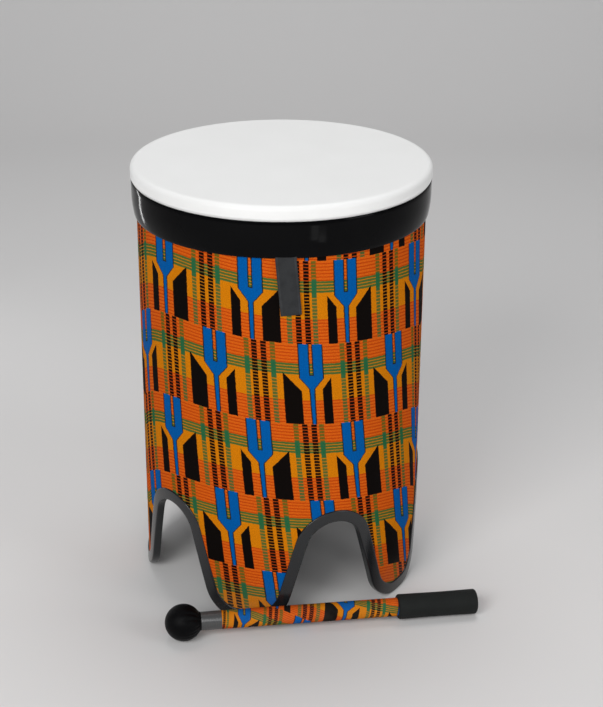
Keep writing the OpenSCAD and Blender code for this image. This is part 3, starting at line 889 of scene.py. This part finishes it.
def charcoal_webbing():
    """UV is in millimetres, X across the webbing from its left edge and Y along it."""
    m, t, s = principled("charcoal_webbing")
    uv = mesh_uv(t)
    xyz = put(t, "ShaderNodeSeparateXYZ", (0, uv))
    x, y = Term(t, xyz.outputs["X"]), Term(t, xyz.outputs["Y"])
    yarn = placed(t, woven_group, ("Vector", uv), ("Warp", 1.15), ("Weft", 0.8))
    fuzz = put(t, "ShaderNodeTexNoise", ("Vector", uv), ("Scale", 1.6), ("Detail", 5.0), ("Roughness", 0.7))
    width = strap_w / MM
    selvedge = x.between(1.0, 2.3, 0.8).most(x.between(width - 2.3, width - 1.0, 0.8))
    # painted shade from the weave: darker in the hollows between yarns
    colour = mixed(t, (Term(t, yarn.outputs["Shade"]) * 2.4).out, (0.050, 0.052, 0.055, 1),
                   (0.006, 0.006, 0.0065, 1))
    colour = mixed(t, (selvedge * 0.35).out, colour, (0.085, 0.088, 0.093, 1))
    colour = mixed(t, (Term(t, fuzz.outputs["Fac"]) * 0.5).out, colour, (0.018, 0.019, 0.020, 1))
    worn = put(t, "ShaderNodeTexNoise", ("Vector", uv), ("Scale", 0.07), ("Detail", 2.0))
    rubbed = (Term(t, worn.outputs["Fac"]) - 0.42).do("MULTIPLY", 3.0, clamp=True)
    colour = mixed(t, (rubbed * 0.6).out, colour, (0.014, 0.0145, 0.015, 1))
    t.links.new(colour, s.inputs["Base Color"])
    s.inputs["Roughness"].default_value = 0.78
    s.inputs["Sheen Weight"].default_value = 0.05
    s.inputs["Sheen Roughness"].default_value = 0.4
    s.inputs["Specular IOR Level"].default_value = 0.15
    relief = Term(t, yarn.outputs["Relief"]) + Term(t, fuzz.outputs["Fac"]) * 0.5
    bumped(t, s, relief.out, 0.00025, 0.7)
    return m


def webbing_profile():
    """The webbing's section as (across, share of its thickness), with rounded selvedges."""
    columns, edge, half = 16, 0.35 * MM, strap_w / 2
    flat = [-half + edge + (strap_w - 2 * edge) * c / columns for c in range(columns + 1)]
    right = [(half - edge * 0.2, 0.33), (half, 0.0), (half - edge * 0.2, -0.33)]
    left = [(-across, -side) for across, side in right]
    return [(across, 0.5) for across in flat] + right + [(across, -0.5) for across in flat[::-1]] + left


def webbing_loop(material):
    """The webbing swept along its hairpin: down the front, round the fold, and up the back."""
    top = ends_high.z - 4 * MM
    drop = strap_len - strap_t - 0.6 * MM
    gap = 0.06 * MM
    fold = 1.35 * MM
    line = []                                        # (out from the hinge line, down from it)
    front, back = strap_t / 2 + gap, -strap_t / 2 - gap
    rise = top - hinge.z
    for n in range(9):
        line.append((front, -rise * (1 - n / 9)))
    for n in range(26):
        line.append((front, drop * n / 26))
    for n in range(11):
        a = math.pi * n / 10
        line.append((front * math.cos(a), drop + fold * math.sin(a) * 0.55))
    for n in range(25, -1, -1):
        line.append((back, drop * n / 26))
    for n in range(8, -1, -1):
        line.append((back, -rise * (1 - n / 9)))
    profile = webbing_profile()
    points, uvs, faces = [], [], []
    length = 0.0
    rings = []
    for k, (out, down) in enumerate(line):
        a = line[max(k - 1, 0)]
        b = line[min(k + 1, len(line) - 1)]
        if k:
            length += math.hypot(out - line[k - 1][0], down - line[k - 1][1])
        heading = Vector((b[0] - a[0], b[1] - a[1])).normalized()
        normal = Vector((heading.y, -heading.x))     # away from the fold's inside
        ring = []
        for across, side in profile:
            o = out + normal.x * side * strap_t
            d = down + normal.y * side * strap_t
            lean = down_dir if d > 0 else Vector((0, 0, -1))
            turned_by = min(1.0, max(0.0, d / (3 * MM)))
            flat = side_dir.lerp(across_dir, turned_by).normalized()
            p = hinge + out_dir * o + lean * d + flat * across
            if d < 0:                                # pressed on to the round shell under the band
                p -= out_dir * (across ** 2 / (2 * cloth_r)) * min(1.0, -d / (4 * MM))
            ring.append(len(points))
            points.append(p)
            uvs.append((across / MM + strap_w / MM / 2, length / MM))
        rings.append(ring)
    sides = len(rings[0])
    for r, s in zip(rings, rings[1:]):
        for c in range(sides):
            d = (c + 1) % sides
            faces.append((r[c], r[d], s[d], s[c]))
    faces += [tuple(rings[0][::-1]), tuple(rings[-1])]
    o = mesh_object("webbing_loop", points, faces, material, uvs)
    fix_normals(o)
    return o


webbing = charcoal_webbing()
loop = webbing_loop(webbing)
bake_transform(loop)
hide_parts("strap_loop", "strap_ends")


# ---- Beater: rod and core ------------------------------------------------------------------------
# A turned wooden dowel runs from inside the ball to inside the grip, and a rubber ball is glued
# on its end. Both are covered, so they get plain wood and rubber.
beater_turn = math.radians(9.3)
ball_r = 18.9 * MM
stick_r = 9.7 * MM
grip_r = 12.9 * MM
beater_len = 307.6 * MM
grip_len = 84.4 * MM
collar_start, collar_len = 17.5 * MM, 21.4 * MM
beater_out, beater_back = 158.2 * MM, 127.1 * MM
dip = math.asin((ball_r - grip_r) / beater_len)
turn_axis = Vector((math.cos(beater_turn), math.sin(beater_turn), 0))
ball_at = turn_axis * -beater_back + Vector((math.sin(beater_turn), -math.cos(beater_turn), 0)) * beater_out
ball_at.z = ball_r
stick_dir = (turn_axis * math.cos(dip) + Vector((0, 0, -1)) * math.sin(dip)).normalized()
stick_side = Vector((0, 0, 1)).cross(stick_dir).normalized()
stick_up = stick_dir.cross(stick_side).normalized()


def turned_wood():
    m, t, s = principled("turned_wood")
    p = object_point(t)
    turned_to = put(t, "ShaderNodeMapping", ("Vector", p), ("Rotation", (0, 0, -beater_turn)),
                    ("Scale", (12.0, 180.0, 180.0)))
    grain = put(t, "ShaderNodeTexNoise", ("Vector", turned_to.outputs[0]), ("Scale", 1.0), ("Detail", 5.0),
                ("Distortion", 0.6))
    colour = mixed(t, grain.outputs["Fac"], (0.36, 0.22, 0.11, 1), (0.60, 0.42, 0.25, 1))
    t.links.new(colour, s.inputs["Base Color"])
    s.inputs["Roughness"].default_value = 0.6
    bumped(t, s, grain.outputs["Fac"], 0.0002, 0.4)
    return m


def ball_rubber():
    m, t, s = principled("ball_rubber")
    grain = placed(t, grain_group, ("Vector", object_point(t)), ("Scale", 900.0), ("Blotch", 60.0))
    colour = mixed(t, grain.outputs["Mottle"], (0.02, 0.02, 0.02, 1), (0.05, 0.05, 0.05, 1))
    t.links.new(colour, s.inputs["Base Color"])
    s.inputs["Roughness"].default_value = 0.7
    bumped(t, s, grain.outputs["Relief"], 0.0003, 0.5)
    return m


paint("mallet_rod", turned_wood())
paint("mallet_core", ball_rubber())


def along_beater(distance, radius, angle):
    """A point round the stick: distance from the ball's middle, and angle from the top towards
    the viewer's side."""
    round_it = stick_up * math.cos(angle) - stick_side * math.sin(angle)
    return ball_at + stick_dir * distance + round_it * radius


def round_piece(name, rings, sides, material, uv_of, close_start=False, close_end=False, seam=0.0):
    """A piece lofted through rings of (distance, radius function of angle). uv_of(ring number,
    angle) gives its UV, which breaks at the angle seam. The rings may run out and back, which
    closes a hollow piece."""
    points, faces, uvs = [], [], []
    for k, (distance, radius) in enumerate(rings):
        for c in range(sides):
            a = seam + 2 * math.pi * c / sides
            points.append(along_beater(distance, radius(a) if callable(radius) else radius, a))
    for k in range(len(rings) - 1):
        for c in range(sides):
            e = (c + 1) % sides
            faces.append((k * sides + c, (k + 1) * sides + c, (k + 1) * sides + e, k * sides + e))
    last = (len(rings) - 1) * sides
    if close_start:
        points.append(sum((Vector(p) for p in points[:sides]), Vector()) / sides)
        faces += [(len(points) - 1, c, (c + 1) % sides) for c in range(sides)]
    if close_end:
        points.append(sum((Vector(p) for p in points[last:last + sides]), Vector()) / sides)
        faces += [(len(points) - 1, last + (c + 1) % sides, last + c) for c in range(sides)]
    mesh = bpy.data.meshes.new(name)
    mesh.from_pydata([tuple(p) for p in points], [], faces)
    mesh.materials.append(material)
    layer = mesh.uv_layers.new(name="UVMap")
    for face in mesh.polygons:
        cs = [v % sides for v in face.vertices if v < last + sides]
        wraps = 0 in cs and sides - 1 in cs
        for n in face.loop_indices:
            v = mesh.loops[n].vertex_index
            k, c = (divmod(v, sides) if v < last + sides else (0 if close_start else len(rings) - 1, cs[0]))
            angle = seam + 2 * math.pi * (c + (sides if wraps and c == 0 else 0)) / sides
            layer.data[n].uv = uv_of(k, angle)
    mesh.polygons.foreach_set("use_smooth", [True] * len(mesh.polygons))
    mesh.update()
    o = bpy.data.objects.new(name, mesh)
    bpy.context.scene.collection.objects.link(o)
    fix_normals(o, merge=True)
    return o


# ---- Beater: ball cover --------------------------------------------------------------------------
# A sock of black brushed cloth drawn over the rubber ball. It is tight and smooth at the front and
# gathers into pleats where the tape binds its mouth to the stick.
def brushed_black():
    m, t, s = principled("brushed_black")
    p = object_point(t)
    nap = put(t, "ShaderNodeTexNoise", ("Vector", p), ("Scale", 1500.0), ("Detail", 3.0), ("Roughness", 0.7))
    patch = put(t, "ShaderNodeTexNoise", ("Vector", p), ("Scale", 90.0), ("Detail", 4.0))
    colour = mixed(t, patch.outputs["Fac"], (0.0010, 0.0010, 0.0012, 1), (0.0030, 0.0030, 0.0034, 1))
    t.links.new(colour, s.inputs["Base Color"])
    s.inputs["Roughness"].default_value = 0.44
    s.inputs["Specular IOR Level"].default_value = 0.16
    s.inputs["IOR"].default_value = 1.3
    bumped(t, s, nap.outputs["Fac"], 0.0004, 0.6)
    return m


def ball_cover():
    pleats = 15
    rng = random.Random(11)
    phase = [rng.uniform(0, 2 * math.pi) for _ in range(3)]

    def fold(a, depth):
        """Pleats of uneven depth and spacing round the neck."""
        bend = a + 0.16 * math.sin(2 * a + phase[0]) + 0.09 * math.sin(5 * a + phase[1])
        sharp = 1 - abs(math.sin(bend * pleats / 2))
        return depth * (0.65 + 0.35 * math.sin(3 * a + phase[2])) * (sharp ** 1.3 - 0.35)

    rings = []
    skin = 1.0 * MM
    polar = 30
    end = math.radians(148)
    for k in range(1, polar + 1):
        w = end * k / polar
        depth = 1.9 * MM * max(0.0, (w / end - 0.34) / 0.66) ** 1.4
        rings.append((-ball_r * math.cos(w),
                      lambda a, w=w, depth=depth: ball_r * math.sin(w) - fold(a, depth)))
    neck = stick_r - 0.35 * MM
    for d, r, depth in ((16.9, 9.75, 0.9), (17.7, 9.5, 0.5), (19.0, 9.35, 0.1)):
        rings.append((d * MM, lambda a, r=r, depth=depth: r * MM - max(0.0, fold(a, depth * MM))))
    rings.append((30 * MM, neck))
    rings.append((30 * MM, neck - 0.3 * MM))
    rings.append((17.4 * MM, neck - 0.35 * MM))
    for k in range(polar - 1, 0, -2):
        w = end * k / polar
        rings.append((-(ball_r - skin) * math.cos(w) * 0.995,
                      lambda a, w=w: min((ball_r - skin) * math.sin(w), ball_r * math.sin(w) - skin)
                      if math.sin(w) > 0.1 else (ball_r - skin) * math.sin(w)))

    def uv_of(k, angle):
        return (angle / (2 * math.pi), k / len(rings))

    return round_piece("ball_cover", rings, 180, brushed_black(), uv_of, close_start=True, close_end=True)


cover = ball_cover()
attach(cover, "beater")
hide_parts("mallet_cover")


# ---- Beater: printed sleeve ----------------------------------------------------------------------
# The same printed cotton at a smaller scale, rolled askew round the dowel and glued, with a lap
# along the underside. Its ends run under the tape and the grip.
sleeve_start = collar_start + collar_len
sleeve_end = beater_len - grip_len
sleeve_lap = 7 * MM
under_tape, under_grip = 3 * MM, 4 * MM


def printed_sleeve():
    lap_at = math.radians(205 - 360)
    start, end = sleeve_start - under_tape, sleeve_end + under_grip
    steps = 60
    sides = 96
    lap_rise = 0.28 * MM

    def radius(a):
        past = ((a - lap_at) % (2 * math.pi)) * stick_r
        return stick_r - 0.18 * MM + lap_rise * max(0.0, 1 - past / sleeve_lap)

    outward = [(start + (end - start) * k / steps, radius) for k in range(steps + 1)]
    inward = [(d, stick_r - 0.62 * MM) for d, _ in outward[::-6]]
    rings = outward + inward + outward[:1]
    places = [d for d, _ in rings]

    def uv_of(k, angle):
        """Where the print was pulled to. Columns stand across the stick and rows slope down to
        the grip; facing is the angle of the side that lies uppermost towards the front."""
        facing = 0.997
        round_it = (angle - facing) * stick_r / MM
        middle = (sleeve_end - sleeve_start) / 2
        w = (places[k] - sleeve_start) / middle - 1.0
        u = 105.9 + 120.3 * w - 10.4 * w ** 2 + 21.0 * w ** 3 + 0.22 * round_it
        v = -14.3 - 67.7 * w + 7.7 * w ** 2 + 8.9 * w ** 3 + 1.42 * round_it
        return (u, v)

    cotton = printed_cotton("sleeve_cotton", 0.15)
    return round_piece("printed_sleeve", rings, sides, cotton, uv_of, seam=lap_at)


sleeve = printed_sleeve()
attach(sleeve, "beater")
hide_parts("mallet_sleeve")


# ---- Beater: tape collar -------------------------------------------------------------------------
# Narrow satin black tape wound tightly over the cover's mouth and the sleeve's end, so that its
# overlapping turns show as fine ribs round the stick.
def satin_tape():
    m, t, s = principled("satin_tape")
    uv = mesh_uv(t)
    worn = put(t, "ShaderNodeTexNoise", ("Vector", uv), ("Scale", 0.9), ("Detail", 5.0), ("Roughness", 0.7))
    colour = mixed(t, worn.outputs["Fac"], (0.034, 0.035, 0.036, 1), (0.082, 0.083, 0.082, 1))
    t.links.new(colour, s.inputs["Base Color"])
    rough = put(t, "ShaderNodeMapRange", ("Value", worn.outputs["Fac"]), ("To Min", 0.22), ("To Max", 0.36))
    t.links.new(rough.outputs[0], s.inputs["Roughness"])
    s.inputs["Specular IOR Level"].default_value = 0.6
    bumped(t, s, worn.outputs["Fac"], 0.0002, 0.2)
    return m


def tape_collar():
    turns = 12
    start, end = collar_start + 0.3 * MM, sleeve_start
    steps = 144
    pitch = (end - start) / turns
    sides = 96

    def radius(d):
        def at(a):
            place = ((d - start) / pitch + a / (2 * math.pi)) % 1.0
            step = place if place < 0.75 else (1 - place) / 0.25 * 0.75
            edge = min(1.0, (d - start) / (0.5 * MM), (end - d) / (0.5 * MM))
            return stick_r - 0.16 * MM + 0.26 * MM * step * edge
        return at

    outward = [(start + (end - start) * k / steps, radius(start + (end - start) * k / steps))
               for k in range(steps + 1)]
    inward = [(d, stick_r - 0.34 * MM) for d, _ in outward[::-18]]
    rings = outward + inward + outward[:1]
    places = [d for d, _ in rings]
    return round_piece("tape_collar", rings, sides, satin_tape(),
                       lambda k, a: (places[k] / MM, a * stick_r / MM), seam=-math.pi)


collar = tape_collar()
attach(collar, "beater")
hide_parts("mallet_collar")


# ---- Beater: foam grip ---------------------------------------------------------------------------
# A thick-walled sleeve of fine black foam with a closed end, pushed on to the dowel. Its edges are
# rounded, and hands have pressed it a little out of round.
def fine_foam():
    m, t, s = principled("fine_foam")
    p = object_point(t)
    cell = put(t, "ShaderNodeTexVoronoi", ("Vector", p), ("Scale", 1300.0))
    patch = put(t, "ShaderNodeTexNoise", ("Vector", p), ("Scale", 60.0), ("Detail", 4.0))
    colour = mixed(t, patch.outputs["Fac"], (0.0070, 0.0080, 0.0074, 1), (0.015, 0.0168, 0.0157, 1))
    # painted shade: each pore's middle, where the surface dips, is darker
    dark = put(t, "ShaderNodeMapRange", ("Value", cell.outputs["Distance"]), ("From Max", 0.4),
               ("To Min", 0.55), ("To Max", 0.0))
    colour = mixed(t, dark.outputs[0], colour, (0.003, 0.003, 0.0035, 1))
    t.links.new(colour, s.inputs["Base Color"])
    s.inputs["Roughness"].default_value = 0.65
    s.inputs["Specular IOR Level"].default_value = 0.15
    bumped(t, s, cell.outputs["Distance"], 0.0004, 0.6)
    return m


def foam_grip():
    edge = 2.6 * MM
    start, end = sleeve_end + 0.1 * MM, beater_len
    rod_r = stick_r - 0.6 * MM

    def squeezed(d, r):
        """Slightly uneven along and round, as pressed foam is."""
        along = (d - start) / (end - start)
        return lambda a: r - 0.16 * MM * (1 + math.sin(2 * a + 5 * along)) * math.sin(math.pi * along)

    rings = [(start, rod_r), (start, grip_r - edge)]
    for n in range(1, 9):
        a = math.pi / 2 * n / 8
        rings.append((start + edge * (1 - math.cos(a)), grip_r - edge + edge * math.sin(a)))
    for n in range(1, 40):
        d = start + edge + (end - start - 2 * edge) * n / 40
        rings.append((d, squeezed(d, grip_r)))
    for n in range(9):
        a = math.pi / 2 * n / 8
        rings.append((end - edge + edge * math.sin(a), grip_r - edge + edge * math.cos(a)))
    rings += [(end, (grip_r - edge) * 0.8), (end - 0.1 * MM, (grip_r - edge) * 0.4),
              (end - 0.15 * MM, 0.3 * MM)]
    rings += [(end - 4 * MM, 0.3 * MM), (end - 4 * MM, rod_r), (start, rod_r)]
    return round_piece("foam_grip", rings, 96, fine_foam(), lambda k, a: (a, rings[k][0] / MM))


grip = foam_grip()
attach(grip, "beater")
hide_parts("mallet_grip")


# ---- Floor, light and camera ---------------------------------------------------------------------
# A plain pale floor that curves up behind. The key light stands at the front left, with a weaker
# one at the right, one in front and one above. A strip and two small panes shine on the band.
def studio():
    m, t, s = principled("studio_floor")
    s.inputs["Base Color"].default_value = (0.70, 0.69, 0.68, 1)
    s.inputs["Roughness"].default_value = 0.9
    half, depth, curve, wall = 4.0, 1.6, 0.8, 3.0
    line = [(-3.0, 0.0), (depth, 0.0)]
    for n in range(1, 17):
        a = math.pi / 2 * n / 16
        line.append((depth + curve * math.sin(a), curve * (1 - math.cos(a))))
    line.append((depth + curve, wall))
    points = [(x, y, z - 0.0002) for y, z in line for x in (-half, half)]
    faces = [(2 * k, 2 * k + 1, 2 * k + 3, 2 * k + 2) for k in range(len(line) - 1)]
    mesh_object("studio_floor", points, faces, m)


def area_light(name, place, aim, size, power):
    light = bpy.data.lights.new(name, "AREA")
    light.shape = "RECTANGLE"
    light.size, light.size_y = size
    light.energy = power
    o = bpy.data.objects.new(name, light)
    bpy.context.scene.collection.objects.link(o)
    o.location = place
    o.visible_camera = False
    o.rotation_euler = (Vector(aim) - Vector(place)).to_track_quat("-Z", "Y").to_euler()


studio()
area_light("key", (-1.1, -2.0, 1.6), (0, 0, 0.25), (1.1, 1.1), 33)
area_light("fill", (1.9, -1.2, 0.9), (0, 0, 0.2), (0.9, 1.4), 12)
area_light("front", (0.0, -2.6, 1.6), (0, 0, 0.2), (1.6, 0.8), 16)
area_light("top", (0.1, 0.7, 2.6), (0, 0, 0.3), (1.6, 1.2), 24)
area_light("strip", (-0.79, 0.63, 0.16), (-0.14, -0.06, 0.43), (0.04, 0.7), 0.9)
for pane in (-1, 1):
    area_light("window", (0.36 + 0.045 * pane, -0.75, 0.15 - 0.03 * pane), (0.03, -0.15, 0.416),
               (0.07, 0.11), 0.05)
world = bpy.data.worlds.new("studio")
bpy.context.scene.world = world
world.use_nodes = True
world.node_tree.nodes["Background"].inputs["Color"].default_value = (0.9, 0.93, 1.0, 1)
world.node_tree.nodes["Background"].inputs["Strength"].default_value = 0.2

bpy.context.scene.view_settings.view_transform = "Standard"

camera = bpy.data.cameras.new("camera")
camera.sensor_width = 36.0
camera.lens = 82.46
camera.shift_x = 0.0286
camera.clip_start = 0.05
camera_object = bpy.data.objects.new("camera", camera)
bpy.context.scene.collection.objects.link(camera_object)
camera_object.location = (0.0, -1.5784, 0.9327)
look_at = Vector((0.0, 0.0, 0.2407))
camera_object.rotation_euler = (look_at - camera_object.location).to_track_quat("-Z", "Y").to_euler()
bpy.context.scene.camera = camera_object

bpy.context.view_layer.update()
